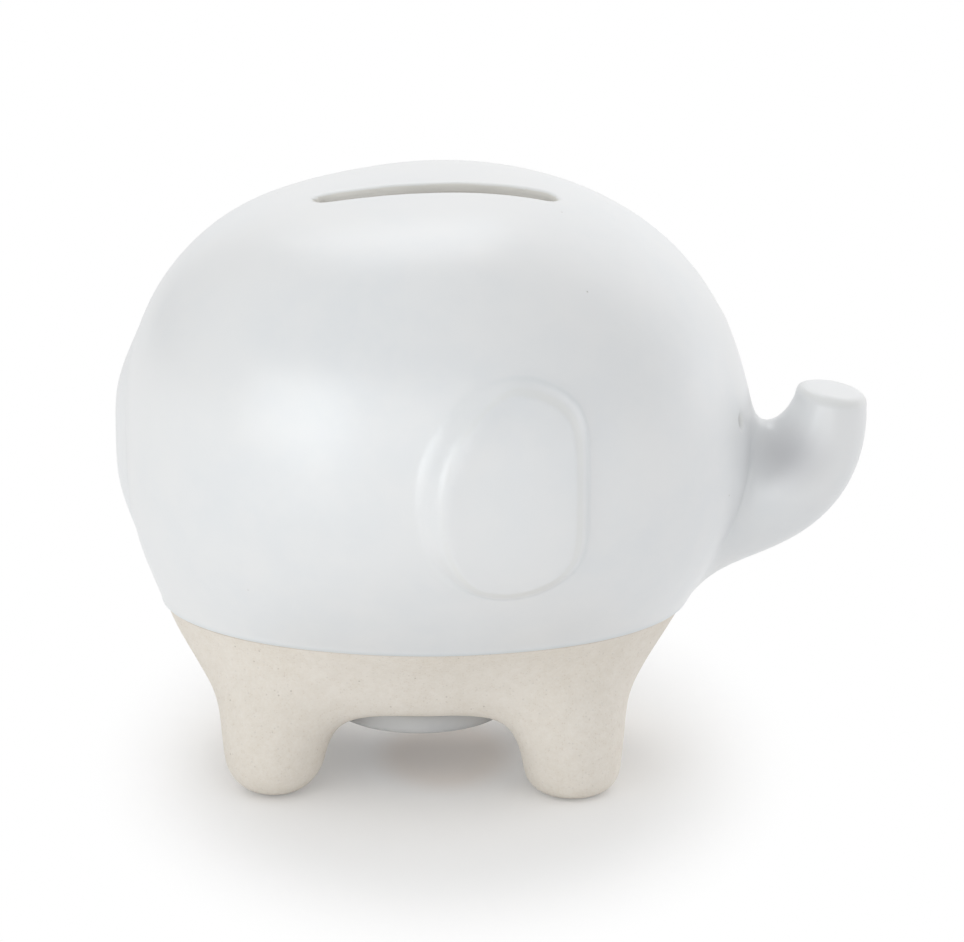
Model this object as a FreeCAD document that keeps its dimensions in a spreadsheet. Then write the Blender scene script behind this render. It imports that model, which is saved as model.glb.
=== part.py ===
"""Elephant coin bank: a slip-cast stoneware shell on four short legs, a coat of white glaze
over its upper body, and a soft stopper that plugs the coin hole in the belly.

Millimetres. +Z is up and the feet stand on z = 0. The elephant faces +X and is mirrored
about the XZ plane. The origin is on the floor below the middle of the figure, trunk included.
The pieces are drawn about the axis of the stopper, midway between the four legs, and the
three finished ones are then placed about the origin.
"""
import FreeCAD, Part
import math
import os

doc = FreeCAD.newDocument("elephant_coin_bank")
sheet = doc.addObject("Spreadsheet::Sheet", "Dims")

DIMENSIONS = [
    # the egg-shaped body
    ("half_length", 62.3, "widest half length of the egg, along X"),
    ("waist_height", 72.0, "height of the widest level above the floor"),
    ("crown_height", 123.2, "top of the egg above the floor"),
    ("belly_height", 16.8, "flat underside above the floor"),
    ("crown_power", 2.4, "how square the egg is above the waist"),
    ("belly_power", 2.2, "how square the egg is below the waist"),
    ("upper_ratio", 0.868, "half width over half length, waist and above"),
    ("lower_ratio", 0.6, "half width over half length, at the underside"),
    ("egg_shift", 2.8, "egg centre ahead of the leg centre"),
    ("shell_wall", 4.5, "thickness of the casting"),
    # the rounded pan that joins the egg to the legs
    ("pan_half_length", 46.0, "half length of the pan under the egg"),
    ("pan_half_width", 26.5, "half width of the pan under the egg"),
    ("pan_edge_radius", 6.0, "rounding of the pan's lower edge"),
    # legs
    ("leg_spread", 30.7, "leg centre from the stopper centre, along X"),
    ("leg_side", 18.0, "leg centre from the mid plane"),
    ("leg_radius", 9.9, "leg just above the rounded foot"),
    ("leg_root_radius", 13.5, "leg at its root inside the body"),
    ("leg_root_height", 38.0, "top of the leg inside the body"),
    ("leg_knee", 0.34, "share of that height at which the leg starts to widen"),
    ("leg_lean", 8.0, "how far the root leans in from the foot towards the mid plane"),
    ("foot_radius", 4.5, "rounding of the foot's lower edge"),
    ("leg_bore_radius", 4.8, "hollow up the middle of the leg"),
    # trunk
    ("trunk_wall", 4.5, "thickness of the trunk's wall at its root"),
    ("trunk_tip_edge", 1.3, "rounding of the trunk's cut end"),
    # ears and tail, raised from the egg
    ("ear_relief", 1.8, "how far the ear stands out of the flank"),
    ("ear_half_height", 23.7, "ear, along Z"),
    ("ear_half_length", 19.0, "ear before its front edge is cut straight, along X"),
    ("ear_front", 14.6, "straight front edge from the ear's centre"),
    ("ear_place", 18.4, "ear centre ahead of the leg centre"),
    ("ear_height", 75.0, "ear centre above the floor"),
    ("tail_half_width", 5.5, "tail, along Y"),
    ("tail_half_height", 20.3, "tail, along Z"),
    ("tail_height", 70.5, "tail centre above the floor"),
    # glaze
    ("glaze_thickness", 0.45, "coat of glaze"),
    ("glaze_line", 34.6, "lower edge of the glaze above the floor"),
    # where the finished pieces lie
    ("figure_middle", 14.4, "middle of the figure ahead of the leg centre"),
    # coin slot
    ("slot_length", 50.0, "coin slot, end to end"),
    ("slot_width", 5.4, "coin slot, side to side"),
    ("slot_place", 3.0, "slot centre ahead of the leg centre"),
    ("slot_cut_depth", 25.0, "how far the slot's cutter reaches below the crown"),
    ("slot_cut_rise", 15.0, "how far the slot's cutter stands above the crown"),
    # stopper and its hole
    ("hole_radius", 17.5, "stopper hole at the underside"),
    ("hole_taper", 0.5, "how much the hole's radius shrinks through the wall"),
    ("fit_clearance", 0.05, "between the stopper's plug and the hole"),
    ("seat_gap", 0.1, "between the stopper's flange and the underside"),
    ("flange_radius", 20.0, "stopper's flange"),
    ("flange_thickness", 2.4, "stopper's flange at its rim"),
    ("dome_height", 2.8, "how far the stopper's outer face bulges"),
    ("plug_height", 9.0, "stopper's plug above its flange"),
    ("plug_wall", 2.2, "wall of the hollow plug"),
]
for row, (alias, value, note) in enumerate(DIMENSIONS, start=1):
    sheet.set(f"A{row}", alias)
    sheet.set(f"B{row}", str(value))
    sheet.set(f"C{row}", note)
    sheet.setAlias(f"B{row}", alias)
doc.recompute()

# Levels at which the egg's sections lie.
ABOVE_WAIST = [0.0, 0.2, 0.38, 0.55, 0.7, 0.82, 0.91, 0.965, 0.99, 0.9985]
BELOW_EDGE = [0.0, 0.06, 0.22, 0.5, 1.0]
BELOW_WAIST = [0.24, 0.36, 0.5, 0.66, 0.83]
BLEND_POWER = 8

# The trunk's centre line and radius: x from the leg centre, z above the floor, radius.
TRUNK = [(46.0, 57.0, 18.0), (58.0, 57.8, 14.9), (67.0, 59.8, 12.7),
         (75.5, 64.4, 10.6), (81.4, 71.2, 8.5), (84.0, 79.6, 6.5)]
TIP_TILT = 12.0

# The root of a leg: share of the way up from the knee, share of its widening and lean.
LEG_RINGS = [(0.0, 0.0), (0.25, 0.12), (0.58, 0.45), (1.0, 1.0)]

REACH = 200.0
TAIL_REACH = 160.0


def bind(item, **expressions):
    """Bind each property, such as Radius or Placement_Base_z, to an expression on the sheet."""
    for name, expression in expressions.items():
        item.setExpression(name.replace("_", "."), expression)
    return item


def ellipse(name, half_x, half_y, level, centre):
    section = doc.addObject("Part::Ellipse", name)
    return bind(section, MajorRadius=half_x, MinorRadius=half_y,
                Placement_Base_x=centre, Placement_Base_z=level)


def loft(name, sections):
    solid = doc.addObject("Part::Loft", name)
    solid.Sections = sections
    solid.Solid = True
    solid.Ruled = False
    return solid


def combine(kind, name, *shapes):
    """A Part::MultiFuse, Part::MultiCommon or Part::Cut of the given objects."""
    result = doc.addObject(kind, name)
    if kind == "Part::Cut":
        result.Base, result.Tool = shapes
    else:
        result.Shapes = list(shapes)
    return result


def smoothstep(fraction):
    return fraction * fraction * (3 - 2 * fraction)


def larger_of(first, second):
    """A rounded maximum of two expressions."""
    return f"pow(pow({first}; {BLEND_POWER}) + pow({second}; {BLEND_POWER}); 1 / {BLEND_POWER})"


def egg(name, inset):
    """The body of the elephant, moved inwards all round by the expression inset."""
    rise = f"(Dims.crown_height - Dims.waist_height - {inset})"
    drop = f"(Dims.waist_height - Dims.belly_height - {inset})"
    length = f"(Dims.half_length - {inset})"
    width = f"(Dims.half_length * Dims.upper_ratio - {inset})"
    sections = []

    def below(index, height, edge, share):
        """A section at this height above the underside, a share of the way up to the waist."""
        depth = f"(1 - {height} / {drop})"
        round_off = f"pow(1 - pow({depth}; Dims.belly_power); 1 / Dims.belly_power)"
        ratio = f"(Dims.lower_ratio + (Dims.upper_ratio - Dims.lower_ratio) * {smoothstep(share):.4f})"
        egg_x = f"({length} * {round_off})"
        egg_y = f"((Dims.half_length * {ratio} - {inset}) * {round_off})"
        pan_x = f"(Dims.pan_half_length - {inset} - {edge})"
        pan_y = f"(Dims.pan_half_width - {inset} - {edge})"
        shift = f"Dims.egg_shift * {smoothstep(share):.4f}"
        sections.append(ellipse(f"{name}_low{index}", larger_of(egg_x, pan_x), larger_of(egg_y, pan_y),
                                f"Dims.belly_height + {inset} + {height}", shift))

    edge_radius = "Dims.pan_edge_radius"
    for index, share in enumerate(BELOW_EDGE):
        round_in = 1 - math.sqrt(1 - (1 - share) ** 2)
        below(index, f"{edge_radius} * {share}", f"{edge_radius} * {round_in:.4f}", 0.13 * share)
    for index, share in enumerate(BELOW_WAIST, start=len(BELOW_EDGE)):
        below(index, f"{drop} * {share}", "0", share)
    for index, share in enumerate(ABOVE_WAIST):
        round_off = f"pow(1 - pow({share}; Dims.crown_power); 1 / Dims.crown_power)"
        sections.append(ellipse(f"{name}_high{index}", f"{length} * {round_off}",
                                f"{width} * {round_off}", f"Dims.waist_height + {rise} * {share}",
                                "Dims.egg_shift"))
    return loft(name, sections)


def trunk(name, swell, count=len(TRUNK)):
    """The raised trunk; swell is added to its radius."""
    sections = []
    for index, (place, height, radius) in enumerate(TRUNK[:count]):
        before = TRUNK[max(index - 1, 0)]
        after = TRUNK[min(index + 1, len(TRUNK) - 1)]
        lean = math.degrees(math.atan2(after[0] - before[0], after[1] - before[1]))
        if index == 0:
            lean = 90.0
        if index == len(TRUNK) - 1:
            lean = TIP_TILT
        ring = doc.addObject("Part::Circle", f"{name}_ring{index}")
        turn = FreeCAD.Rotation(FreeCAD.Vector(0, 1, 0), lean)
        ring.Placement = FreeCAD.Placement(FreeCAD.Vector(place, 0, height), turn)
        bind(ring, Radius=f"{radius} + {swell}")
        sections.append(ring)
    return loft(name, sections)


def cylinder(name, radius, low, high, x="0", y="0"):
    return bind(doc.addObject("Part::Cylinder", name), Radius=radius, Height=f"{high} - ({low})",
                Placement_Base_x=x, Placement_Base_y=y, Placement_Base_z=low)


def leg(name, front, side):
    """One leg: a round shaft with a rounded foot, and a root that leans in under the body."""
    knee = "Dims.leg_root_height * Dims.leg_knee"
    shaft = cylinder(f"{name}_shaft", "Dims.leg_radius", "0", knee,
                     x=f"Dims.leg_spread * {front}", y=f"Dims.leg_side * {side}")
    foot = doc.addObject("Part::Fillet", f"{name}_foot")
    foot.Base = shaft
    doc.recompute()
    lower_edge = min(range(len(shaft.Shape.Edges)),
                     key=lambda index: shaft.Shape.Edges[index].BoundBox.ZMax)
    radius = sheet.get("foot_radius")
    foot.Edges = [(lower_edge + 1, radius, radius)]
    rings = []
    for rise, lean in LEG_RINGS:
        ring = doc.addObject("Part::Circle", f"{name}_ring{len(rings)}")
        bind(ring, Radius=f"Dims.leg_radius + (Dims.leg_root_radius - Dims.leg_radius) * {lean}",
             Placement_Base_x=f"Dims.leg_spread * {front}",
             Placement_Base_y=f"(Dims.leg_side - Dims.leg_lean * {lean}) * {side}",
             Placement_Base_z=f"{knee} + (Dims.leg_root_height - {knee}) * {rise}")
        rings.append(ring)
    return combine("Part::MultiFuse", name, foot, loft(f"{name}_root", rings))


def cone(name, radius_low, radius_high, low, high):
    return bind(doc.addObject("Part::Cone", name), Radius1=radius_low, Radius2=radius_high,
                Height=f"{high} - ({low})", Placement_Base_z=low)


def bar(name, half_height, half_width, direction, place, height, length):
    """An upright ellipse drawn out along the direction: the outline of the ears or the tail."""
    outline = doc.addObject("Part::Ellipse", f"{name}_outline")
    up = FreeCAD.Vector(0, 0, 1)
    outline.Placement.Rotation = FreeCAD.Rotation(up, direction.cross(up), direction, "ZXY")
    bind(outline, MajorRadius=half_height, MinorRadius=half_width,
         Placement_Base_x=place, Placement_Base_z=height)
    solid = doc.addObject("Part::Extrusion", name)
    solid.Base = outline
    solid.DirMode = "Custom"
    solid.Dir = direction
    solid.LengthFwd = length
    solid.LengthRev = length
    solid.Solid = True
    solid.FaceMakerClass = "Part::FaceMakerBullseye"
    return solid


def reliefs(name, swell):
    """Both ears and the tail: their outlines carried up to a skin just outside the egg."""
    along_x = FreeCAD.Vector(1, 0, 0)
    along_y = FreeCAD.Vector(0, 1, 0)
    ears = bar(f"{name}_ear_bar", f"Dims.ear_half_height + {swell}", f"Dims.ear_half_length + {swell}",
               along_y, "Dims.ear_place", "Dims.ear_height", REACH)
    behind_front_edge = doc.addObject("Part::Box", f"{name}_ear_limit")
    bind(behind_front_edge, Length=f"{REACH}", Width=f"2 * {REACH}", Height=f"{REACH}",
         Placement_Base_x=f"Dims.ear_place + Dims.ear_front + {swell} - {REACH}",
         Placement_Base_y=f"-{REACH}")
    ears = combine("Part::MultiCommon", f"{name}_ears", ears, behind_front_edge)
    tail = bar(f"{name}_tail_bar", f"Dims.tail_half_height + {swell}", f"Dims.tail_half_width + {swell}",
               along_x, f"-{REACH}", "Dims.tail_height", TAIL_REACH)
    outlines = combine("Part::MultiFuse", f"{name}_outlines", ears, tail)
    skin = egg(f"{name}_skin", f"(-Dims.ear_relief - ({swell}))")
    return combine("Part::MultiCommon", name, skin, outlines)


def outer_form(name, swell):
    """Egg, ears, tail and trunk; swell moves every surface outwards."""
    trunk_form = trunk(f"{name}_trunk", swell)
    tip = doc.addObject("Part::Fillet", f"{name}_trunk_rounded")
    tip.Base = trunk_form
    doc.recompute()
    tip_edge = max(range(len(trunk_form.Shape.Edges)),
                   key=lambda index: trunk_form.Shape.Edges[index].BoundBox.ZMin)
    radius = sheet.get("trunk_tip_edge")
    tip.Edges = [(tip_edge + 1, radius, radius)]
    return combine("Part::MultiFuse", name, egg(f"{name}_egg", f"(-({swell}))"),
                   reliefs(f"{name}_relief", swell), tip)


def slot_cutter():
    """A bar with round ends, standing upright through the crown."""
    half_straight = "(Dims.slot_length - Dims.slot_width) / 2"
    low = "Dims.crown_height - Dims.slot_cut_depth"
    high = "Dims.crown_height + Dims.slot_cut_rise"
    block = doc.addObject("Part::Box", "slot_block")
    bind(block, Length="Dims.slot_length - Dims.slot_width", Width="Dims.slot_width",
         Height="Dims.slot_cut_depth + Dims.slot_cut_rise",
         Placement_Base_x=f"Dims.slot_place - {half_straight}", Placement_Base_y="-Dims.slot_width / 2",
         Placement_Base_z=low)
    ends = [cylinder(f"slot_end{index}", "Dims.slot_width / 2", low, high,
                     x=f"Dims.slot_place + {side} * {half_straight}")
            for index, side in enumerate((-1, 1))]
    return combine("Part::MultiFuse", "slot_cutter", block, *ends)


LEGS = [("rear_near", -1, -1), ("rear_far", -1, 1), ("front_near", 1, -1), ("front_far", 1, 1)]

# ---- the casting ----
legs = [leg(f"leg_{name}", front, side) for name, front, side in LEGS]
bare_form = outer_form("bare", "0")
solid_form = combine("Part::MultiFuse", "solid_form", bare_form, *legs)
chamber = egg("chamber", "Dims.shell_wall")
leg_bores = [cylinder(f"leg_bore_{name}", "Dims.leg_bore_radius", "Dims.shell_wall",
                      "Dims.belly_height + Dims.pan_edge_radius", x=f"Dims.leg_spread * {front}",
                      y=f"Dims.leg_side * {side}") for name, front, side in LEGS]
trunk_bore = trunk("trunk_bore", "(-Dims.trunk_wall)", count=5)
hole_top = "(Dims.belly_height + Dims.plug_height + Dims.shell_wall)"
hole_slope = "(Dims.hole_taper / Dims.shell_wall)"
hole = cone("stopper_hole", "Dims.hole_radius",
            f"Dims.hole_radius - {hole_slope} * (Dims.plug_height + Dims.shell_wall)",
            "Dims.belly_height", hole_top)
slot = slot_cutter()
hollows = combine("Part::MultiFuse", "hollows", chamber, trunk_bore, hole, slot, *leg_bores)
casting = combine("Part::Cut", "stoneware_body", solid_form, hollows)

# ---- the coat of glaze ----
glazed_form = outer_form("glazed", "Dims.glaze_thickness")
above_line = doc.addObject("Part::Box", "above_glaze_line")
bind(above_line, Length=f"2 * {REACH}", Width=f"2 * {REACH}", Height=f"{REACH}",
     Placement_Base_x=f"-{REACH}", Placement_Base_y=f"-{REACH}", Placement_Base_z="Dims.glaze_line")
glazed_top = combine("Part::MultiCommon", "glazed_top", glazed_form, above_line)
under_glaze = combine("Part::MultiFuse", "under_glaze", bare_form, slot, *legs)
glaze = combine("Part::Cut", "glaze_coat", glazed_top, under_glaze)

# ---- the stopper ----
flange_top = "(Dims.belly_height - Dims.seat_gap)"
flange_low = f"({flange_top} - Dims.flange_thickness)"
plug_low = "(Dims.hole_radius - Dims.fit_clearance)"
plug_lean = f"({hole_slope} * (Dims.plug_height + Dims.flange_thickness))"
flange = cylinder("flange", "Dims.flange_radius", flange_low, flange_top)
dome_radius = "((pow(Dims.flange_radius; 2) + pow(Dims.dome_height; 2)) / (2 * Dims.dome_height))"
ball = doc.addObject("Part::Sphere", "dome_ball")
bind(ball, Radius=dome_radius, Placement_Base_z=f"{flange_low} - Dims.dome_height + {dome_radius}")
below_flange = cylinder("dome_limit", "Dims.flange_radius", f"{flange_low} - Dims.dome_height", flange_low)
dome = combine("Part::MultiCommon", "dome", ball, below_flange)
plug = cone("plug", plug_low, f"{plug_low} - {plug_lean}", flange_low,
            f"{flange_top} + Dims.plug_height")
plug_hollow = cone("plug_hollow", f"{plug_low} - Dims.plug_wall",
                   f"{plug_low} - Dims.plug_wall - {hole_slope} * 2 * Dims.plug_height", flange_top,
                   f"{flange_top} + 2 * Dims.plug_height")
stopper_form = combine("Part::MultiFuse", "stopper_form", flange, dome, plug)
stopper = combine("Part::Cut", "stopper", stopper_form, plug_hollow)

for piece in (casting, glaze, stopper):
    bind(piece, Placement_Base_x="-Dims.figure_middle")
doc.recompute()

failed = [item.Label for item in doc.Objects if "Invalid" in item.State or "Error" in item.State]
if failed:
    raise SystemExit(f"these objects did not recompute: {failed}")

os.makedirs("parts", exist_ok=True)
for part in (casting, glaze, stopper):
    shape = part.Shape
    if shape.isNull() or not shape.isValid():
        raise SystemExit(f"{part.Label} has no valid shape")
    box = shape.BoundBox
    print(f"{part.Label}: {len(shape.Solids)} solid, {shape.Volume / 1000:.1f} cm3, "
          f"x {box.XMin:.1f} to {box.XMax:.1f}, y {box.YMin:.1f} to {box.YMax:.1f}, "
          f"z {box.ZMin:.1f} to {box.ZMax:.1f}")
    shape.exportStep(f"parts/{part.Label}.step")
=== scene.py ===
"""An elephant coin bank: a speckled stoneware casting, a coat of satin white glaze over its
upper body, and a frosted stopper in its belly."""
import math

import bmesh
import bpy
from mathutils import Matrix, Vector


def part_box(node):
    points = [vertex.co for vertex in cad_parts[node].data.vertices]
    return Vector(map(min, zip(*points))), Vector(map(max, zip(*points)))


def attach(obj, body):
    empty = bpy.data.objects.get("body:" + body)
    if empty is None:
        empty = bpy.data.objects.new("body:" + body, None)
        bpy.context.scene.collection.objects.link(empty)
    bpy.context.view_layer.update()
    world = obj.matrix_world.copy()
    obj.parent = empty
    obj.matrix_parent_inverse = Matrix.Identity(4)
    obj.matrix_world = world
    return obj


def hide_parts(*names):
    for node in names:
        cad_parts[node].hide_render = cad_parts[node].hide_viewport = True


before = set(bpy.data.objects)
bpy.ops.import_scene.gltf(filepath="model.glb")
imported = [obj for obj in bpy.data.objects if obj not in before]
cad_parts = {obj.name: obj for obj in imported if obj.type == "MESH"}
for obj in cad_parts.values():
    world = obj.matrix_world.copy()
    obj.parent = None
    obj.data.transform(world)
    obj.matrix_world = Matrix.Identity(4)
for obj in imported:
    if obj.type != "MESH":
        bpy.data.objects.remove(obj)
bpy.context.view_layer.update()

MM = 0.001
_, BODY_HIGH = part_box("stoneware_body")
GLAZE_LOW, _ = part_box("glaze_coat")
STOPPER_LOW, STOPPER_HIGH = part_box("stopper")
LEG_CENTRE = (STOPPER_LOW.x + STOPPER_HIGH.x) / 2
TO_FRAME = Matrix.Translation((LEG_CENTRE, 0, 0)) @ Matrix.Scale(MM, 4)

# Sizes of the figure in millimetres, measured from the floor and from the stopper's axis.
# Each is a named input of the node trees that shape the pieces.
FIGURE = {
    "Half length": 61.6, "Upper ratio": 0.868, "Lower ratio": 0.60, "Waist": 72.0,
    "Crown": BODY_HIGH.z / MM - 0.7, "Belly": 16.8, "Egg shift": 2.7, "Cheek": 2.7,
    "Pan half length": 42.4, "Pan half width": 25.0, "Pan edge": 7.0,
    "Leg spread": 30.3, "Leg side": 18.0, "Leg radius": 9.7, "Leg lean": 8.0,
    "Foot rounding": 6.2,
    "Trunk bend x": 60.0, "Trunk bend z": 81.7, "Trunk bend radius": 23.1,
    "Trunk tip radius": 6.3,
    "Ear x": 18.4, "Ear z": 75.0, "Ear half length": 19.4, "Ear half height": 24.0,
    "Ear front": 33.8, "Ear relief": 2.4, "Tail relief": 1.7,
    "Eye side": 14.0, "Eye height": 77.6, "Eye depth": 1.4,
    "Slot place": 3.6, "Slot side": -0.8, "Slot length": 49.4, "Slot width": 6.2,
    "Wall": 4.5, "Hole radius": 17.5,
}
GLAZE_LINE = GLAZE_LOW.z / MM + 0.65
GLAZE_THICKNESS = 0.45
SLOT_FLOOR = 100.0  # the slot cuts down to here, and above it the skin has no other edge
WHITE = (1, 1, 1, 1)


# ---------------------------------------------------------------- building node trees

class Value:
    """A number carried by a socket. Arithmetic on it adds Math nodes to its tree."""

    def __init__(self, bench, socket):
        self.bench = bench
        self.socket = socket

    def __add__(self, other):
        return self.bench.math("ADD", self, other)

    def __sub__(self, other):
        return self.bench.math("SUBTRACT", self, other)

    def __rsub__(self, other):
        return self.bench.math("SUBTRACT", other, self)

    def __mul__(self, other):
        return self.bench.math("MULTIPLY", self, other)

    def __truediv__(self, other):
        return self.bench.math("DIVIDE", self, other)

    def __rtruediv__(self, other):
        return self.bench.math("DIVIDE", other, self)

    def __pow__(self, other):
        return self.bench.math("POWER", self, other)

    def __neg__(self):
        return self.bench.math("MULTIPLY", self, -1.0)

    __radd__ = __add__
    __rmul__ = __mul__

    def at_least(self, other):
        return self.bench.math("MAXIMUM", self, other)

    def at_most(self, other):
        return self.bench.math("MINIMUM", self, other)

    def size(self):
        return self.bench.math("ABSOLUTE", self)

    def step(self, low, high, first=0.0, last=1.0):
        """first below low, last above high, smooth between."""
        made = self.bench.node("ShaderNodeMapRange", {"interpolation_type": "SMOOTHSTEP"},
                               {"Value": self, "From Min": low, "From Max": high,
                                "To Min": first, "To Max": last})
        return Value(self.bench, made.outputs["Result"])

    def bell(self, centre, width):
        """1 at the centre, falling off over the width on both sides."""
        return self.bench.math("EXPONENT", -(((self - centre) / width) ** 2.0))


class Bench:
    """Puts nodes into one tree."""

    def __init__(self, tree):
        self.tree = tree

    def node(self, kind, settings=None, sockets=None):
        """A node of this kind: its settings first, then the values or links of its sockets."""
        made = self.tree.nodes.new(kind)
        for name, value in (settings or {}).items():
            setattr(made, name, value)
        for name, value in (sockets or {}).items():
            self.plug(made.inputs[name], value)
        return made

    def plug(self, socket, value):
        if isinstance(value, Value):
            value = value.socket
        if isinstance(value, bpy.types.NodeSocket):
            self.tree.links.new(value, socket)
        else:
            socket.default_value = value

    def math(self, operation, *values):
        made = self.node("ShaderNodeMath", {"operation": operation}, dict(enumerate(values)))
        return Value(self, made.outputs[0])

    def vector(self, operation, *values, scale=None):
        sockets = dict(enumerate(values))
        if scale is not None:
            sockets["Scale"] = scale
        return self.node("ShaderNodeVectorMath", {"operation": operation}, sockets).outputs[0]

    def split(self, vector):
        made = self.node("ShaderNodeSeparateXYZ", sockets={0: vector})
        return [Value(self, socket) for socket in made.outputs]

    def join(self, *parts):
        return self.node("ShaderNodeCombineXYZ", sockets=dict(enumerate(parts))).outputs[0]

    def length(self, *parts):
        return sum((part * part for part in parts[1:]), parts[0] * parts[0]) ** 0.5

    def noise(self, place, scale, detail=2.0, roughness=0.5, distortion=0.0):
        made = self.node("ShaderNodeTexNoise", sockets={
            "Vector": place, "Scale": scale, "Detail": detail, "Roughness": roughness,
            "Distortion": distortion})
        return Value(self, made.outputs[0])

    def mix(self, share, first, second):
        """A colour between two colours."""
        made = self.node("ShaderNodeMix", {"data_type": "RGBA"}, {0: share, 6: first, 7: second})
        return made.outputs[2]

    def bump(self, height, strength, distance):
        made = self.node("ShaderNodeBump", sockets={
            "Height": height, "Strength": strength, "Distance": distance})
        return made.outputs[0]

    def finish(self, shader, sockets):
        for name, value in sockets.items():
            self.plug(shader.inputs[name], value)


def geometry_tree(name, inputs, outputs):
    """A geometry node tree with named inputs and outputs: its bench and its inputs by name."""
    tree = bpy.data.node_groups.new(name, "GeometryNodeTree")
    for label, (kind, default) in inputs.items():
        socket = tree.interface.new_socket(name=label, in_out="INPUT", socket_type=kind)
        if default is not None:
            socket.default_value = default
    for label, kind in outputs.items():
        tree.interface.new_socket(name=label, in_out="OUTPUT", socket_type=kind)
    bench = Bench(tree)
    entry = bench.node("NodeGroupInput")
    given = {}
    for label, (kind, _) in inputs.items():
        socket = entry.outputs[label]
        given[label] = Value(bench, socket) if kind == "NodeSocketFloat" else socket
    return bench, given


def finish_tree(bench, geometry):
    """End a tree in real geometry that wears the tree's material."""
    real = bench.node("GeometryNodeRealizeInstances", sockets={"Geometry": geometry})
    entry = next(node for node in bench.tree.nodes if node.bl_idname == "NodeGroupInput")
    worn = bench.node("GeometryNodeSetMaterial",
                      sockets={"Geometry": real.outputs[0], "Material": entry.outputs["Material"]})
    bench.node("NodeGroupOutput", sockets={"Geometry": worn.outputs[0]})
    return bench.tree


def number_inputs(sizes):
    return {label.replace("_", " "): ("NodeSocketFloat", value) for label, value in sizes.items()}


MESH_INPUTS = {"Geometry": ("NodeSocketGeometry", None), "Material": ("NodeSocketMaterial", None)}


MESH_OUTPUT = {"Geometry": "NodeSocketGeometry"}


def shaped(mesh, tree, material, **inputs):
    """The plain mesh that a geometry tree makes of the given mesh."""
    blank = bpy.data.objects.new("blank", mesh)
    bpy.context.scene.collection.objects.link(blank)
    modifier = blank.modifiers.new("shape", "NODES")
    modifier.node_group = tree
    for item in tree.interface.items_tree:
        if item.in_out == "INPUT" and item.name == "Material":
            modifier[item.identifier] = material
        elif item.in_out == "INPUT" and item.name.replace(" ", "_") in inputs:
            modifier[item.identifier] = inputs[item.name.replace(" ", "_")]
    evaluated = blank.evaluated_get(bpy.context.evaluated_depsgraph_get())
    result = bpy.data.meshes.new_from_object(evaluated)
    blank.modifiers.clear()
    bpy.data.objects.remove(blank)
    return result


# ---------------------------------------------------------------- the figure as a rule

def rounded_corner(bench, across, along, radius):
    """The distance to a shape bounded by two faces whose edge is rounded."""
    first = across + radius
    second = along + radius
    outside = bench.length(first.at_least(0.0), second.at_least(0.0))
    inside = first.at_least(second).at_most(0.0)
    return outside + inside - radius


def smooth_union(bench, first, second, blend):
    return bench.math("SMOOTH_MIN", first, second, blend)


def smooth_common(bench, first, second, blend):
    return bench.math("SMOOTH_MAX", first, second, blend)


def egg_distance(bench, size, x, y, z):
    """The egg-shaped body: fuller at the cheeks, its crown a little uneven along the back."""
    cheek_height, cheek_spread, cheek_start = 67.0, 22.0, 40.0
    lower_power, even_power, mean_radius = 2.43, 2.42, 52.0
    rising = z.step(size["Belly"], size["Waist"])
    ratio = size["Lower ratio"] + (size["Upper ratio"] - size["Lower ratio"]) * rising
    towards_face = (x / cheek_start).at_least(0.0).at_most(1.0)
    cheek = size["Cheek"] * z.bell(cheek_height, cheek_spread) * towards_face
    shift = size["Egg shift"] * (0.3 + 0.7 * rising)
    across = bench.length(x - shift - cheek, y / ratio) / size["Half length"]
    past_rump, saddle, rump = x.step(-45.0, -20.0), x.bell(-15.0, 16.0), x.bell(-43.0, 13.0)
    crown = size["Crown"] - 0.25 * past_rump - 0.8 * saddle + 0.4 * rump
    above = (z - size["Waist"]).at_least(0.0) / (crown - size["Waist"])
    below = (size["Waist"] - z).at_least(0.0) / (size["Waist"] - size["Belly"])
    sideways = y / ratio / size["Half length"] / across
    upper_power = even_power + 0.5 * sideways * sideways
    upper = (across ** upper_power + above ** upper_power) ** (1 / upper_power)
    lower = (across ** lower_power + below ** lower_power) ** (1 / lower_power)
    is_above = bench.math("GREATER_THAN", z, size["Waist"])
    return (lower + (upper - lower) * is_above - 1.0) * mean_radius


def pan_distance(bench, size, x, y, z):
    """The rounded pan between the legs, which flares as it rises into the body."""
    mean_radius, top = 32.0, 50.0
    flare, fullness = z.step(18.0, 36.0), z.bell(29.0, 8.0)
    half_length = size["Pan half length"] + 4.4 * flare + 1.2 * fullness
    half_width = size["Pan half width"] + flare
    side = (bench.length(x / half_length, y / half_width) - 1.0) * mean_radius
    return rounded_corner(bench, side, size["Belly"] - z, size["Pan edge"]).at_least(z - top)


def leg_distance(bench, size, x, y, z):
    """The four legs: they spread and thicken as they rise, and are rounded at the foot."""
    middle, turn_over, top, top_slope, top_blend = 0.8, 20.0, 24.0, 0.7, 16.0
    lean, spread = z.step(10.0, 40.0), z.step(18.0, 42.0)
    ankle, thigh = z.step(2.0, 14.0), z.bell(31.0, 9.0)
    from_axis = bench.length((x - middle).size() - size["Leg spread"] - 2.5 * spread,
                             y.size() - size["Leg side"] + size["Leg lean"] * lean)
    side = from_axis - size["Leg radius"] - ankle * 0.9 - 2.6 * lean - 0.5 * thigh
    to_front = (x / turn_over).at_least(-1.0).at_most(1.0)
    leg = rounded_corner(bench, side, -z, size["Foot rounding"] - 1.2 * to_front)
    return smooth_common(bench, leg, (z - top) * top_slope, top_blend)


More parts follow.
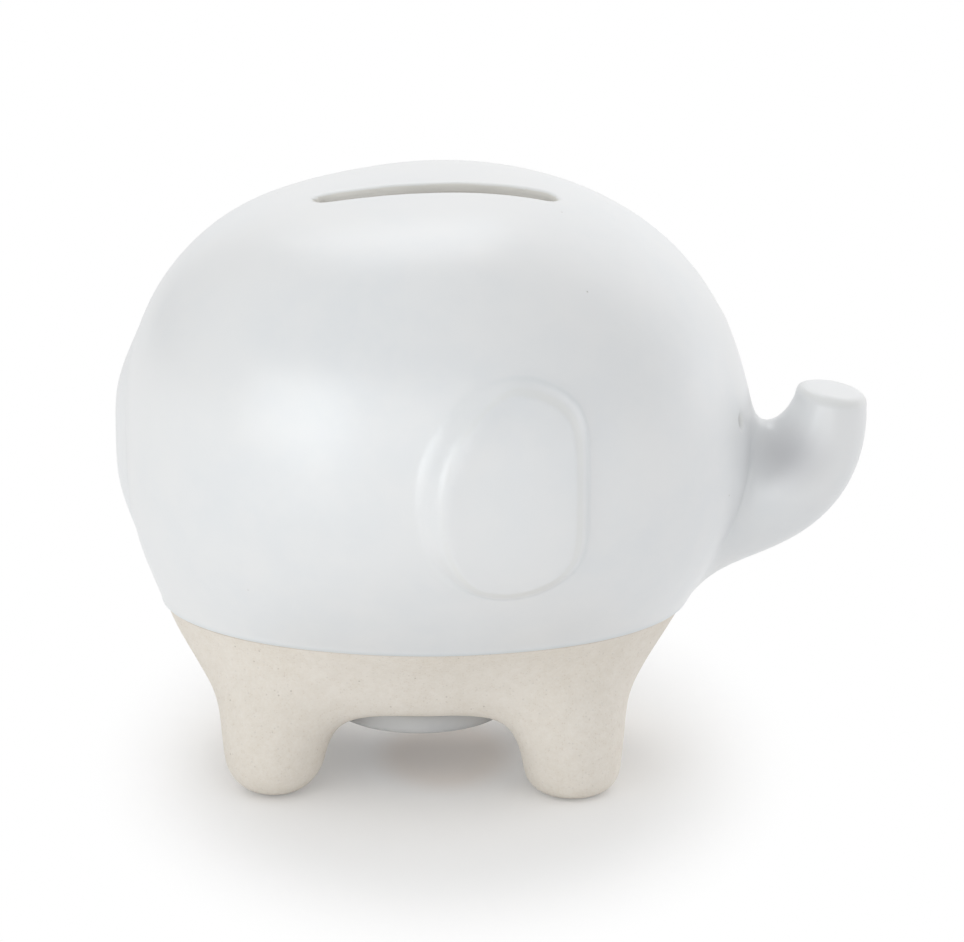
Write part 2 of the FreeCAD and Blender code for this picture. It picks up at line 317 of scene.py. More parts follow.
def trunk_distance(bench, size, x, y, z):
    """The trunk: a tapering tube along an arc, cut off square at its tip. Turns are in degrees,
    from straight ahead of the bend's centre."""
    tip_x, tip_z, tip_turn, taper, tip_blend = 84.0, 79.2, 5.7, 0.088, 1.7
    bend_x = x - size["Trunk bend x"]
    bend_z = z - size["Trunk bend z"]
    turned = bench.math("ARCTAN2", bend_z, bend_x) * (180 / math.pi)
    past_tip = (x - tip_x) * 0.17 + (z - tip_z) * 0.985
    slimmer = 1.5 * turned.bell(-88.0, 26.0)
    tapered = (size["Trunk tip radius"] - (turned + tip_turn) * taper).at_least(0.1)
    tube_radius = tapered - slimmer
    arc_radius = size["Trunk bend radius"] + 2.2 * turned.bell(-50.0, 38.0) + slimmer
    narrower = 1.0 + 0.14 * turned.step(-80.0, -30.0, 1.0, 0.0)
    from_arc = bench.length(bench.length(bend_x, bend_z) - arc_radius, y * narrower)
    rim = 0.2 * past_tip.step(-2.6, -0.6)
    return smooth_common(bench, from_arc - tube_radius - rim, past_tip, tip_blend)


def ear_relief(bench, size, x, y, z):
    """How far the ears are raised: steep at the front, soft and rolled over at the back."""
    ear_radius, flank = 20.0, 20.0
    along = (x - size["Ear x"]) / size["Ear half length"]
    up = (z - size["Ear z"]) / size["Ear half height"]
    ear_round = (1.0 - bench.length(along, up)) * ear_radius
    inside = smooth_union(bench, ear_round, size["Ear front"] - x, 5.0) - 0.6
    soft_edge = (0.2 * (z - size["Ear z"]) / size["Ear half height"] - along).step(0.1, 0.9)
    rim_width = 2.0 + 5.4 * soft_edge
    rolled = 0.7 * soft_edge * inside.bell(6.4, 4.0)
    flap = size["Ear relief"] * (1.0 + 0.018 * (18.0 - x).at_least(0.0))
    raised = flap * inside.step(-0.2, rim_width) + rolled + 0.3 * inside.step(1.0, 15.0)
    return raised * bench.math("GREATER_THAN", y.size(), flank)


def tail_relief(bench, size, x, y, z):
    """How far the tail, a long upright oval at the back, is raised."""
    half_width, half_height, height = 6.0, 20.5, 70.5
    inside = (1.0 - bench.length(y / half_width, (z - height) / half_height)) * half_width
    return size["Tail relief"] * inside.step(-1.0, 4.0) * bench.math("LESS_THAN", x, 0.0)


def eye_hollow(bench, size, x, y, z):
    """How far the eyes are pressed in."""
    half_width, half_height, face = 1.0, 1.8, 40.0
    off_eye = bench.length((y.size() - size["Eye side"]) / half_width,
                           (z - size["Eye height"]) / half_height)
    return (size["Eye depth"] * off_eye.step(0.0, 1.4, 1.0, 0.0)
            * bench.math("GREATER_THAN", x, face))


def slot_distance(bench, size, x, y, z):
    """The coin slot, a little wider at its mouth."""
    narrower = z.step(size["Crown"] - 5.5, size["Crown"] - 0.5, 1.0, 0.0)
    half_straight = (size["Slot length"] - size["Slot width"]) * 0.5
    half_width = size["Slot width"] * 0.5 - narrower
    past_end = ((x - size["Slot place"]).size() - half_straight).at_least(0.0)
    side = bench.length(past_end, y - size["Slot side"]) - half_width
    return side.at_least(SLOT_FLOOR - z)


def hole_distance(bench, size, x, y, z):
    """The tapered hole that takes the stopper."""
    taper, top = 0.111, 29.0
    radius = size["Hole radius"] - (z - size["Belly"]) * taper
    return (bench.length(x, y) - radius).at_least(z - top)


def figure_distance():
    """A group that gives how far a place, in millimetres, lies outside the casting."""
    inputs = {"Place": ("NodeSocketVector", None), **number_inputs(FIGURE)}
    bench, size = geometry_tree("Figure distance", inputs,
                                {"Casting": "NodeSocketFloat", "Skin": "NodeSocketFloat"})
    x, y, z = bench.split(size["Place"])
    here = (bench, size, x, y, z)

    solid = smooth_union(bench, egg_distance(*here), pan_distance(*here), 12.0)
    hull = smooth_common(bench, solid, size["Belly"] - z, 2.0)
    legged = smooth_union(bench, hull, leg_distance(*here), 18.0)
    # the trunk runs into the face broadly along its middle and closely at its sides
    close, broad = 2.8, 14.0 + 3.5 * z.step(72.0, 84.0)
    fillet = broad - (broad - close) * y.size().step(2.0, 12.0)
    plain = smooth_union(bench, legged, trunk_distance(*here), fillet)
    skin = plain - ear_relief(*here) - tail_relief(*here) + eye_hollow(*here)

    slotted = smooth_common(bench, skin, -slot_distance(*here), 0.4)
    chamber = plain + size["Wall"]
    hollow = smooth_common(bench, slotted, -chamber, 0.8)
    casting = smooth_common(bench, hollow, -hole_distance(*here), 1.0)

    bench.node("NodeGroupOutput", sockets={"Casting": casting, "Skin": skin})
    return bench.tree


def measure_with(bench, size, distance):
    """A function that measures the casting, or its outer skin, at a place."""
    sizes = {label: size[label] for label in FIGURE}

    def measure(place, output="Casting"):
        made = bench.node("GeometryNodeGroup", {"node_tree": distance}, {"Place": place, **sizes})
        return Value(bench, made.outputs[output])

    return measure


def cast_tree(distance):
    """A tree that turns the figure's distance into a closed mesh."""
    inputs = {**MESH_INPUTS, **number_inputs({"Grid": 1.5, "Wall band": 3.0, **FIGURE})}
    bench, size = geometry_tree("Cast the figure", inputs, MESH_OUTPUT)
    measure = measure_with(bench, size, distance)
    here = bench.node("GeometryNodeInputPosition").outputs[0]
    band = size["Wall band"]
    density = (band - measure(here)).at_least(0.0).at_most(band * 2.0)
    low, high = (-70.0, -63.0, -5.0), (97.0, 63.0, 130.0)
    counts = {f"Resolution {axis}": (high[index] - low[index]) / size["Grid"]
              for index, axis in enumerate("XYZ")}
    block = bench.node("GeometryNodeVolumeCube", sockets={
        "Density": density, "Background": 0.0, "Min": low, "Max": high, **counts})
    mesh = bench.node("GeometryNodeVolumeToMesh",
                      sockets={"Volume": block.outputs[0], "Threshold": band})
    return finish_tree(bench, mesh.outputs[0])


def settle_tree(distance):
    """A tree that evens out the points, moves each onto the casting's surface, and notes its
    depth under the skin and how sharply the surface bends there."""
    sizes = {"Probe": 0.05, "Feeler": 0.8, "Ease": 1.0, **FIGURE}
    bench, size = geometry_tree("Settle on the figure", {**MESH_INPUTS, **number_inputs(sizes)},
                                MESH_OUTPUT)
    measure = measure_with(bench, size, distance)
    here = bench.node("GeometryNodeInputPosition").outputs[0]
    rounds, least_steepness, longest_move = 4, 0.2, 1.0

    def around(reach):
        """The distances a little ahead and behind along each axis."""
        pairs = []
        for axis in ((1, 0, 0), (0, 1, 0), (0, 0, 1)):
            step = bench.vector("SCALE", axis, scale=reach)
            pairs.append((measure(bench.vector("ADD", here, step)),
                          measure(bench.vector("SUBTRACT", here, step))))
        return pairs

    even = bench.node("GeometryNodeBlurAttribute", {"data_type": "FLOAT_VECTOR"},
                      {"Value": here, "Iterations": 2, "Weight": size["Ease"]})
    geometry = bench.node("GeometryNodeSetPosition", sockets={
        "Geometry": size["Geometry"], "Position": even.outputs[0]}).outputs[0]
    for _ in range(rounds):
        slopes = [(ahead - behind) / (size["Probe"] * 2.0)
                  for ahead, behind in around(size["Probe"])]
        steepness = sum((slope * slope for slope in slopes[1:]), slopes[0] * slopes[0])
        reach = measure(here) / steepness.at_least(least_steepness)
        reach = reach.at_least(-longest_move).at_most(longest_move)
        offset = bench.vector("SCALE", bench.join(*slopes), scale=-reach)
        moved = bench.node("GeometryNodeSetPosition",
                           sockets={"Geometry": geometry, "Offset": offset})
        geometry = moved.outputs[0]
    twice_here = measure(here) * 2.0
    curls = [ahead + behind - twice_here for ahead, behind in around(size["Feeler"])]
    bend = (curls[0] + curls[1] + curls[2]) / (size["Feeler"] * size["Feeler"])
    for name, value in {"depth": -measure(here, "Skin"), "bend": bend}.items():
        stored = bench.node("GeometryNodeStoreNamedAttribute",
                            {"data_type": "FLOAT", "domain": "POINT"},
                            {"Geometry": geometry, "Name": name, "Value": value})
        geometry = stored.outputs[0]
    return finish_tree(bench, geometry)


def coat_tree():
    """A tree that gives a skin the thickness of the glaze, with a rounded lip at its lower edge."""
    sizes = {"Line": GLAZE_LINE, "Thickness": GLAZE_THICKNESS, "Lip": 0.16, "Run into slot": 2.6,
             "Key into clay": 0.3}
    bench, size = geometry_tree("Coat with glaze", {**MESH_INPUTS, **number_inputs(sizes)},
                                MESH_OUTPUT)
    here = bench.node("GeometryNodeInputPosition").outputs[0]
    level = bench.split(here)[2]
    normal = bench.node("GeometryNodeInputNormal").outputs[0]
    rounding, lip_height, lip_spread = 4.5, 0.8, 0.75
    thinning, unevenness, key_fade = 0.45, 0.1, 0.6

    def named(name):
        made = bench.node("GeometryNodeInputNamedAttribute", {"data_type": "FLOAT"},
                          {"Name": name})
        return Value(bench, made.outputs[0])

    def moved(distance):
        """The skin moved along its normals."""
        return bench.node("GeometryNodeSetPosition", sockets={
            "Geometry": size["Geometry"],
            "Offset": bench.vector("SCALE", normal, scale=distance)}).outputs[0]

    over_line = level - size["Line"]
    to_slot_edge = size["Run into slot"] - named("depth")
    rise = (1.0 - bench.math("EXPONENT", over_line * -rounding)) * to_slot_edge.step(0.0, 1.0)
    lip = size["Lip"] * over_line.bell(lip_height, lip_spread)
    flow = bench.noise(here, 0.09, 1.0) - 0.5
    thin = named("bend").step(0.15, 1.2)
    thickness = size["Thickness"] * (1.0 - thinning * thin) + lip + unevenness * flow
    outer = moved(thickness * rise)
    from_edge = (over_line.at_most(to_slot_edge) / key_fade).at_least(0.0).at_most(1.0)
    inner = bench.node("GeometryNodeFlipFaces",
                       sockets={"Mesh": moved(-(size["Key into clay"] * from_edge))})
    both = bench.node("GeometryNodeJoinGeometry", sockets={"Geometry": outer})
    bench.tree.links.new(inner.outputs[0], both.inputs[0])
    closed = bench.node("GeometryNodeMergeByDistance", sockets={
        "Geometry": both.outputs[0], "Distance": 0.002})
    return finish_tree(bench, closed.outputs[0])


# ---------------------------------------------------------------- mesh work

def wanted_edge(place):
    """The edge length, in millimetres, that the surface needs at a place."""
    x, y, z = place
    along_slot, across_slot = x - FIGURE["Slot place"], y - FIGURE["Slot side"]
    beside_eye, above_eye = abs(y) - FIGURE["Eye side"], z - FIGURE["Eye height"]
    off_ear = math.hypot((x - FIGURE["Ear x"]) / FIGURE["Ear half length"],
                         (z - FIGURE["Ear z"]) / FIGURE["Ear half height"])
    into_ear = min((1 - off_ear) * 20, FIGURE["Ear front"] - x)
    slot = z > 110 and abs(across_slot) < 5 and abs(along_slot) < 30
    trunk_tip = x > 74 and z > 72
    eye = abs(beside_eye) < 4 and abs(above_eye) < 5 and x > 45
    trunk = x > 48 and 50 < z < 92
    ear_rim = abs(y) > 30 and -1.5 < into_ear < 6
    tail = x < -52 and abs(y) < 9 and 45 < z < 95
    fine_places = ((slot, 0.34), (trunk_tip, 0.6), (eye, 0.45), (trunk, 0.9), (ear_rim, 0.5),
                   (tail, 0.9))
    return next((edge for is_here, edge in fine_places if is_here), 2.0)


def refine(form):
    """Halve every edge that is much longer than the surface needs there, twice over."""
    too_long = 1.45
    for _ in range(2):
        long_edges = []
        for edge in form.edges:
            middle = (edge.verts[0].co + edge.verts[1].co) / 2
            if edge.calc_length() > too_long * wanted_edge(middle):
                long_edges.append(edge)
        bmesh.ops.subdivide_edges(form, edges=long_edges, cuts=1, use_grid_fill=True)
        many_sided = [face for face in form.faces if len(face.verts) > 4]
        bmesh.ops.triangulate(form, faces=many_sided)
        spare = [vert for vert in form.verts if len(vert.link_edges) == 2]
        bmesh.ops.dissolve_verts(form, verts=spare)


def edited(mesh, edit):
    """The mesh after the edit, a function on its bmesh."""
    form = bmesh.new()
    form.from_mesh(mesh)
    edit(form)
    form.to_mesh(mesh)
    form.free()
    return mesh


def cut_glaze_skin(form):
    """Keep the skin above the glaze line and the upper part of the slot's walls."""
    depth = form.verts.layers.float["depth"]
    deepest, buried_depth, past_run, near_line = 2.5, 0.5, 3.0, 0.03

    def drop(is_unwanted):
        bmesh.ops.delete(form, geom=[face for face in form.faces if is_unwanted(face.verts)],
                         context="FACES")

    def on_slot_edge(vert):
        return vert.is_boundary and vert.co.z > SLOT_FLOOR

    drop(lambda verts: min(vert[depth] for vert in verts) > deepest
         or max(vert.co.z for vert in verts) < GLAZE_LINE - 3)
    # the stopper hole and the chamber are left behind, since only the skin is coated
    drop(lambda verts: all(vert[depth] > buried_depth for vert in verts)
         and max(vert.co.z for vert in verts) < SLOT_FLOOR)
    # the coat tapers to nothing at its edges, so that its two sides meet there
    at_edge = [face for face in form.faces if any(map(on_slot_edge, face.verts))]
    bmesh.ops.triangulate(form, faces=at_edge)
    drop(lambda verts: all(map(on_slot_edge, verts)))
    for vert in filter(on_slot_edge, form.verts):
        vert[depth] = past_run
    # level rings of points just above the glaze line carry the rounding of the lip
    for above in (0.0, 0.14, 0.32, 0.56, 0.9, 1.35, 2.0):
        everything = form.verts[:] + form.edges[:] + form.faces[:]
        bmesh.ops.bisect_plane(form, geom=everything, dist=0.02, plane_no=(0, 0, 1),
                               plane_co=(0, 0, GLAZE_LINE + above), clear_inner=above == 0.0)
    for vert in form.verts:
        if abs(vert.co.z - GLAZE_LINE) < near_line:
            vert.co.z = GLAZE_LINE
    drop(lambda verts: max(vert.co.z for vert in verts) < GLAZE_LINE + 0.001)
    many_sided = [face for face in form.faces if len(face.verts) > 4]
    bmesh.ops.triangulate(form, faces=many_sided)


def finished(name, mesh, body, slot, *nodes):
    """A finished piece: it rides on a body and replaces CAD nodes. Its slot is not used."""
    mesh.polygons.foreach_set("use_smooth", [True] * len(mesh.polygons))
    mesh.name = name
    piece = bpy.data.objects.new(name, mesh)
    bpy.context.scene.collection.objects.link(piece)
    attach(piece, body)
    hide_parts(*nodes)
    return piece


# ---------------------------------------------------------------- finishes

def finish_named(name):
    """A new material: its bench, its Principled shader and its Object coordinates."""
    material = bpy.data.materials.new(name)
    material.use_nodes = True
    bench = Bench(material.node_tree)
    shader = material.node_tree.nodes["Principled BSDF"]
    place = bench.node("ShaderNodeTexCoord").outputs["Object"]
    return material, bench, shader, place


def attribute(bench, name):
    return Value(bench, bench.node("ShaderNodeAttribute", {"attribute_name": name}).outputs["Fac"])


def specks(bench, place, scale, radius, share, soft=0.15):
    """Round specks of one size, in a share of the cells of a random pattern."""
    cells = bench.node("ShaderNodeTexVoronoi", {"feature": "F1"},
                       {"Vector": place, "Scale": scale, "Randomness": 1.0})
    reach = Value(bench, cells.outputs["Distance"])
    chosen = bench.split(cells.outputs["Color"])[0]
    disc = reach.step(radius * (1 - soft), radius * (1 + soft), 1.0, 0.0)
    return disc * chosen.step(1 - share, 1 - share + 0.01)


CLAY = {
    "deep buff": (0.785, 0.73, 0.65, 1), "pale buff": (0.815, 0.765, 0.695, 1),
    "sand": (0.85, 0.815, 0.76, 1), "mottle": (0.70, 0.645, 0.565, 1),
    "tan": (0.56, 0.44, 0.32, 1), "grey": (0.42, 0.39, 0.36, 1), "iron": (0.22, 0.17, 0.12, 1),
    "pinhole shade": (0.12, 0.09, 0.07, 1), "painted lip shadow": (0.36, 0.27, 0.19, 1),
}


def bare_stoneware():
    """Pale buff clay with tan, grey and dark specks and a fine sandy tooth. Its pinholes are
    painted near black as shade, and a painted shadow darkens the clay under the glaze's lip.
    """
    material, bench, shader, place = finish_named("bare speckled stoneware")
    cloud = bench.noise(place, 60.0, 3.0)
    grain = bench.noise(place, 1500.0, 3.0, 0.65)
    mottle = bench.noise(place, 420.0, 4.0, 0.7)

    def moved_specks(shift, *sizes):
        return specks(bench, bench.vector("ADD", place, shift), *sizes)

    tan = specks(bench, place, 2400.0, 0.36, 0.26, 0.6) * mottle.step(0.4, 0.6)
    grey = moved_specks((0.31, 0.17, 0.05), 1500.0, 0.26, 0.12, 0.6)
    dark = moved_specks((0.07, 0.23, 0.41), 800.0, 0.15, 0.06, 0.5)
    # painted shade: the pinholes are coloured near black, standing in for the shade inside them
    pits = moved_specks((0.53, 0.11, 0.19), 300.0, 0.075, 0.035, 0.4)
    level = bench.split(place)[2] / MM
    # painted shadow: a dark brown band on the clay just under the glaze's lip
    painted_lip_shadow = level.step(GLAZE_LINE - 0.55, GLAZE_LINE - 0.1)
    clay = bench.mix(cloud.step(0.3, 0.7), CLAY["deep buff"], CLAY["pale buff"])
    for share, tint in ((grain.step(0.3, 0.75) * 0.5, "sand"),
                        (mottle.step(0.35, 0.65) * 0.25, "mottle"), (tan * 0.24, "tan"),
                        (grey * 0.20, "grey"), (dark * 0.35, "iron"), (pits * 0.7, "pinhole shade"),
                        (painted_lip_shadow * 0.55, "painted lip shadow")):
        clay = bench.mix(share, clay, CLAY[tint])
    roughness = 0.82 + 0.1 * grain - 0.12 * dark
    tooth = grain * 0.7 + bench.noise(place, 520.0, 2.0) * 0.5 - pits * 1.6 - dark * 0.3
    bump = bench.bump(tooth, 0.35, 0.12 * MM)
    bench.finish(shader, {"Base Color": clay, "Roughness": roughness, "Normal": bump,
                          "Specular IOR Level": 0.35})
    return material


GLAZE = {
    "cool": (0.750, 0.770, 0.785, 1), "even": (0.792, 0.799, 0.802, 1),
    "veil": (0.805, 0.81, 0.81, 1), "pooled": (0.70, 0.745, 0.765, 1),
    # painted shade: the eye colour darkens the pressed eyes
    "painted shade in crook": (0.47, 0.475, 0.495, 1), "eye": (0.33, 0.32, 0.30, 1),
    "painted_crease_shade": (0.48, 0.47, 0.45, 1), "thin": (0.70, 0.705, 0.65, 1),
    "slot mouth": (0.68, 0.66, 0.60, 1), "slot wall": (0.92, 0.895, 0.84, 1),
    "lip": (0.66, 0.71, 0.74, 1), "fleck": (0.30, 0.27, 0.23, 1),
}


def satin_glaze():
    """Cool white satin glaze: warmer where it breaks thin over an edge, deeper where it pools.
    Painted shade darkens the crook of the trunk, the eyes and the sharpest creases, and the
    slot's wall is painted lighter deeper down, against the shade inside the slot."""
    material, bench, shader, place = finish_named("satin white glaze")
    bend = attribute(bench, "bend")
    depth = attribute(bench, "depth")
    along, sideways, level = bench.split(place)
    cloud = bench.noise(place, 28.0, 3.0, 0.55)
    veil = bench.noise(place, 160.0, 4.0, 0.6)
    dots = specks(bench, place, 210.0, 0.04, 0.07, 0.5)
    thin = bend.step(0.25, 1.1)
    pooled = bend.step(-0.9, -0.12, 1.0, 0.0)
    # painted shade: the sharpest hollows are darkened in the colour
    painted_crease_shade = bend.step(-2.4, -1.2, 1.0, 0.0)
    in_slot = depth.step(0.03, 0.25)
    lip = (level / MM).step(GLAZE_LINE + 0.3, GLAZE_LINE + 1.5, 1.0, 0.0)
    # painted shade: the crook where the trunk meets the face is darkened in the colour itself
    crook_x, crook_z, face = 60.2, 68.2, 40 * MM
    crook = bench.length((along / MM - crook_x) * 0.8, level / MM - crook_z)
    crook = crook.step(0.5, 9.0, 1.0, 0.0)
    # painted shade: the pressed eyes are darkened in the colour, standing in for the shade inside
    # them
    eye = bench.length((sideways.size() / MM - FIGURE["Eye side"]) / 1.2,
                       (level / MM - FIGURE["Eye height"]) / 2.0)
    eye = eye.step(0.0, 1.15, 1.0, 0.0) * bench.math("GREATER_THAN", along, face)
    # the slot's tint is the beige of thin glaze over clay, lightened deeper down as painted light
    # against the shade inside the slot
    slot_tint_with_painted_light = bench.mix(depth.step(0.2, 1.6), GLAZE["slot mouth"], GLAZE["slot wall"])
    white = bench.mix(cloud.step(0.3, 0.7), GLAZE["cool"], GLAZE["even"])
    for share, tint in ((veil.step(0.35, 0.7) * 0.35, GLAZE["veil"]),
                        (pooled * 0.25, GLAZE["pooled"]), (crook * 0.72, GLAZE["painted shade in crook"]),
                        (eye * 0.55, GLAZE["eye"]), (painted_crease_shade * 0.3, GLAZE["painted_crease_shade"]),
                        (thin * 0.22, GLAZE["thin"]), (in_slot * 0.8, slot_tint_with_painted_light),
                        (lip * 0.6, GLAZE["lip"]), (dots * 0.45, GLAZE["fleck"])):
        white = bench.mix(share, white, tint)
    roughness = 0.27 + 0.07 * cloud + 0.05 * veil + 0.08 * thin
    bump = bench.bump(cloud * 2.4 + veil * 0.16 - dots * 0.8, 0.5, 0.25 * MM)
    bench.finish(shader, {"Base Color": white, "Roughness": roughness, "Normal": bump,
                          "IOR": 1.6, "Specular IOR Level": 0.9})
    return material


def frosted_silicone():
    """Cloudy moulded silicone with a faint swirl and a little lint. Its greys are darker than
    its frosted white, as painted shade.
    """
    material, bench, shader, place = finish_named("frosted silicone")
    swirl = bench.noise(place, 90.0, 3.0, 0.5, 0.6)
    frost = bench.noise(place, 2200.0, 2.0, 0.6)
    lint = specks(bench, place, 380.0, 0.10, 0.05, 0.4)
    # painted shade: the silicone's greys are darker than its frosted white, standing in for the
    # shade under the belly
    cloudy_and_painted_shade = bench.mix(swirl.step(0.3, 0.7), (0.49, 0.495, 0.50, 1), (0.54, 0.54, 0.535, 1))
    cloudy_and_painted_shade = bench.mix(lint * 0.4, cloudy_and_painted_shade, (0.4, 0.38, 0.35, 1))
    bench.finish(shader, {"Base Color": cloudy_and_painted_shade, "Roughness": 0.38 + 0.12 * frost,
                          "Normal": bench.bump(frost, 0.2, 0.04 * MM)})
    return material


# ---------------------------------------------------------------- pieces

stoneware = bare_stoneware()
glaze = satin_glaze()
silicone = frosted_silicone()

distance = figure_distance()
blank = bpy.data.meshes.new("blank")
casting = shaped(blank, cast_tree(distance), stoneware)
settle = settle_tree(distance)
casting = shaped(casting, settle, stoneware)
casting = shaped(edited(casting, refine), settle, stoneware, Ease=0.6)

glaze_skin = edited(casting.copy(), cut_glaze_skin)
coat = shaped(glaze_skin, coat_tree(), glaze)
casting.transform(TO_FRAME)
coat.transform(TO_FRAME)
finished("stoneware_casting", casting, "bank", "stoneware", "stoneware_body")
finished("glaze", coat, "bank", "glaze", "glaze_coat")


def stopper_profile():
    """Radius and height of the stopper's outline, in metres, from its outer face to its inside."""
    flange = (STOPPER_HIGH.x - STOPPER_LOW.x) / 2
    low, high = STOPPER_LOW.z, STOPPER_HIGH.z
    seat = 0.0167
    edge = low + 0.0006
    return [(0.0, low), (0.006, low + 0.00005), (0.012, low + 0.0002), (0.0165, low + 0.0004),
            (flange - 0.0014, edge), (flange - 0.0004, edge + 0.0006), (flange, edge + 0.0015),
            (flange - 0.0003, seat - 0.0004), (flange - 0.001, seat), (0.0176, seat),
            (0.01735, seat + 0.0004), (0.0170, high - 0.0012), (0.0166, high - 0.0003),
            (0.0160, high), (0.0152, high - 0.0002), (0.0149, high - 0.001),
            (0.0150, seat + 0.002), (0.0144, seat + 0.0006), (0.013, seat), (0.0, seat)]


def lathe(profile, centre, turns=96):
    """A closed form turned about an upright axis."""
    form = bmesh.new()
    angles = [2 * math.pi * index / turns for index in range(turns)]
    rings = []
    for radius, height in profile:
        if radius == 0.0:
            rings.append([form.verts.new((centre, 0, height))])
            continue
        rings.append([form.verts.new((centre + radius * math.cos(angle),
                                      radius * math.sin(angle), height)) for angle in angles])
    for lower, upper in zip(rings, rings[1:]):
        for index in range(turns):
            after = (index + 1) % turns
            corners = [lower[index % len(lower)], lower[after % len(lower)],
                       upper[after % len(upper)], upper[index % len(upper)]]
            form.faces.new(dict.fromkeys(corners))
    bmesh.ops.recalc_face_normals(form, faces=form.faces)
    mesh = bpy.data.meshes.new("lathe")
    form.to_mesh(mesh)
    form.free()
    return mesh


plug = lathe(stopper_profile(), LEG_CENTRE)
plug.materials.append(silicone)
stopper = finished("stopper_plug", plug, "stopper", "stopper", "stopper")
rounding = stopper.modifiers.new("round", "SUBSURF")
rounding.levels = rounding.render_levels = 1


# ---------------------------------------------------------------- floor, light and camera

def seen_as_white(bench):
    """1 for a ray that shows the backdrop: from the camera, or one that a gloss or glass sends."""
    rays = bench.node("ShaderNodeLightPath")
    camera, glossy, clear = (Value(bench, rays.outputs[name])
                             for name in ("Is Camera Ray", "Is Glossy Ray", "Is Transmission Ray"))
    return camera.at_least(glossy).at_least(clear)


def white_floor():
    """A pale floor that fades to a white backdrop away from the object. Under the object it is
    tinted warm as a painted shadow, and out to the right it is darker as painted shade that
    only light bounced onto the object sees.
    """
    material, bench, shader, place = finish_named("white floor")
    x, y, _ = bench.split(place)
    shadow_x, shadow_shape = LEG_CENTRE + 0.005, 1.4
    aside = bench.length((x - shadow_x) * shadow_shape, y)
    open_floor = aside.step(0.012, 0.024)
    # painted light: the white glow that the camera and reflections see rises from a tenth under the
    # object to full away from it, lightening and bounding the shadow
    away = 0.10 + 0.06 * open_floor + 0.84 * aside.step(0.056, 0.104)
    # painted shade: a darker floor out to the right, seen only by light bouncing onto the object,
    # dims its lower right
    painted_bounce_shade_right = aside.step(0.095, 0.13) * x.step(0.05, 0.11)
    shown = seen_as_white(bench)
    # painted shadow: the floor under the object is tinted warm and a little darker
    pale = bench.mix(open_floor, (0.95, 0.885, 0.83, 1), (0.95, 0.945, 0.94, 1))
    pale = bench.mix(painted_bounce_shade_right, pale, (0.70, 0.70, 0.71, 1))
    backdrop = bench.node("ShaderNodeEmission", sockets={"Color": WHITE, "Strength": 1.0})
    bench.finish(shader, {"Base Color": pale, "Roughness": 0.9, "Specular IOR Level": 0.1})
    blend = bench.node("ShaderNodeMixShader", sockets={
        0: away * shown, 1: shader.outputs[0], 2: backdrop.outputs[0]})
    bench.plug(material.node_tree.nodes["Material Output"].inputs["Surface"], blend.outputs[0])
    return material


def add_floor():
    """A floor that ends a little in front of the object, so that the lamps there light its side
    from below too."""
    mesh = bpy.data.meshes.new("floor")
    reach, front = 3.0, 0.28
    corners = [(-reach, -front, 0), (reach, -front, 0), (reach, reach, 0), (-reach, reach, 0)]
    mesh.from_pydata(corners, [], [(0, 1, 2, 3)])
    mesh.materials.append(white_floor())
    floor = bpy.data.objects.new("floor", mesh)
    bpy.context.scene.collection.objects.link(floor)


def add_softbox(name, place, width, height, power, tint=(1, 1, 1), mirrored=True):
    """A rectangular lamp that faces the middle of the object."""
    data = bpy.data.lights.new(name, "AREA")
    data.shape = "RECTANGLE"
    data.size, data.size_y = width, height
    data.energy = power
    data.color = tint
    lamp = bpy.data.objects.new(name, data)
    lamp.location = place
    towards = Vector((0, 0, 0.06)) - lamp.location    # the middle of the object
    lamp.rotation_euler = towards.to_track_quat("-Z", "Y").to_euler()
    lamp.visible_glossy = mirrored
    bpy.context.scene.collection.objects.link(lamp)


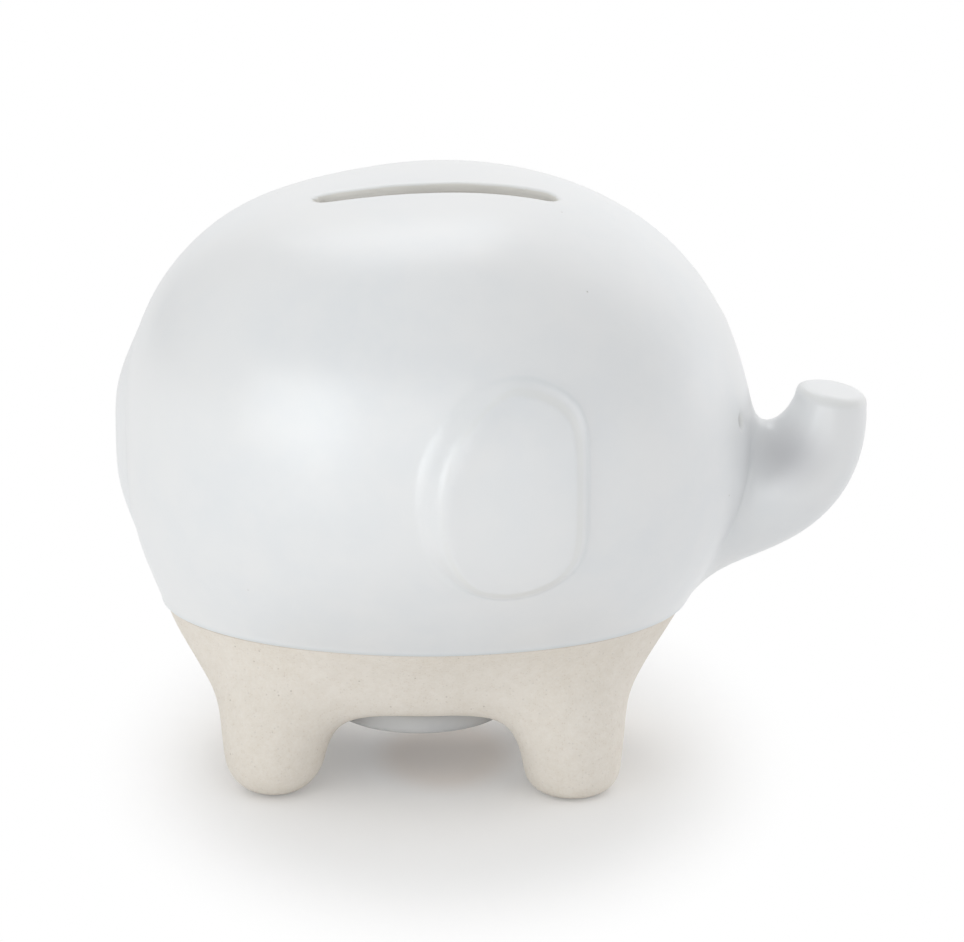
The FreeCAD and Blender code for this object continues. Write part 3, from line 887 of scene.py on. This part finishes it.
def light_world(tree):
    """An even studio: a white backdrop behind, and a softer light all round the object."""
    bench = Bench(tree)
    rays = bench.node("ShaderNodeLightPath")
    direction = bench.node("ShaderNodeTexCoord").outputs["Generated"]
    sideways, backwards, upwards = bench.split(direction)
    behind = (backwards + 0.45 * sideways).step(0.42, 0.92)
    reflected = bench.mix(behind, (0.46, 0.465, 0.47, 1), (1.2, 1.2, 1.2, 1))
    diffuse = bench.mix(upwards.step(0.1, 1.0), (0.47, 0.475, 0.48, 1), WHITE)
    below = upwards.step(-0.04, 0.0, 1.0, 0.0)
    reflected = bench.mix(below, reflected, WHITE)
    diffuse = bench.mix(below, diffuse, (0.8, 0.8, 0.8, 1))
    light = bench.mix(seen_as_white(bench), diffuse, reflected)
    light = bench.mix(Value(bench, rays.outputs["Is Camera Ray"]), light, WHITE)
    bench.plug(tree.nodes["Background"].inputs["Color"], light)


def around(azimuth, elevation, distance):
    """A place seen from the object: azimuth 0 is towards the camera, positive to the right."""
    azimuth, elevation = math.radians(azimuth), math.radians(elevation)
    flat = distance * math.cos(elevation)
    return (flat * math.sin(azimuth), -flat * math.cos(azimuth), distance * math.sin(elevation))


def add_camera():
    """A long lens at a standing viewer's angle, square to the object's side."""
    elevation = math.radians(19.5)
    forward = Vector((0, math.cos(elevation), -math.sin(elevation)))
    aim, reach = Vector((LEG_CENTRE + 0.01275, 0.01955, 0.05521)), 1.12003
    data = bpy.data.cameras.new("camera")
    data.sensor_width = 36
    data.lens = 202.11
    data.clip_end = 10
    camera = bpy.data.objects.new("camera", data)
    camera.location = aim - reach * forward
    camera.rotation_euler = (math.radians(90) - elevation, 0, 0)
    bpy.context.scene.collection.objects.link(camera)
    bpy.context.scene.camera = camera


add_floor()
add_softbox("left softbox", around(-46, 1, 1.0), 0.58, 0.86, 2.3, (0.96, 1.0, 1.01))
add_softbox("back softbox", around(189, 57, 1.0), 0.47, 0.52, 0.96)
add_softbox("right fill", around(112, 0, 1.0), 0.6, 0.4, 4.5, mirrored=False)
add_softbox("front fill", around(-12, 8, 1.0), 1.1, 0.5, 1.3)
add_camera()

scene = bpy.context.scene
scene.world = bpy.data.worlds.new("studio")
scene.world.use_nodes = True
light_world(scene.world.node_tree)
scene.view_settings.view_transform = "Standard"
